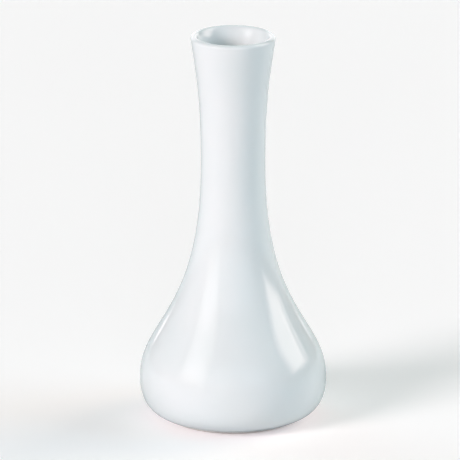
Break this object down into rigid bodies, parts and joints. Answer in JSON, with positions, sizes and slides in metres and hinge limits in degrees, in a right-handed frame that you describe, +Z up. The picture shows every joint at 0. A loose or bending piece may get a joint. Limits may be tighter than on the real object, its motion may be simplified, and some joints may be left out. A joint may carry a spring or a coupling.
{
  "type": "bud vase",
  "caption": "White glazed porcelain bud vase with a low rounded belly, a long narrow neck and a flared mouth, for one or a few stems.",
  "frame": {"origin": "on the table at the middle of the bare foot ring that the vase stands on", "axes": "+Z up along the vase's axis, out of the mouth; the vase is round, so X and Y are alike and -Y is taken as the front"},
  "size_m": [0.0664, 0.0664, 0.14],
  "materials": {
    "porcelain": "bare fired porcelain, matt and very finely grained",
    "glaze": "clear high-gloss glaze over white porcelain"
  },
  "bodies": {
    "root": {"porcelain_body": "porcelain", "glaze_coat": "glaze", "foot_recess_glaze": "glaze"}
  },
  "joints": []
}
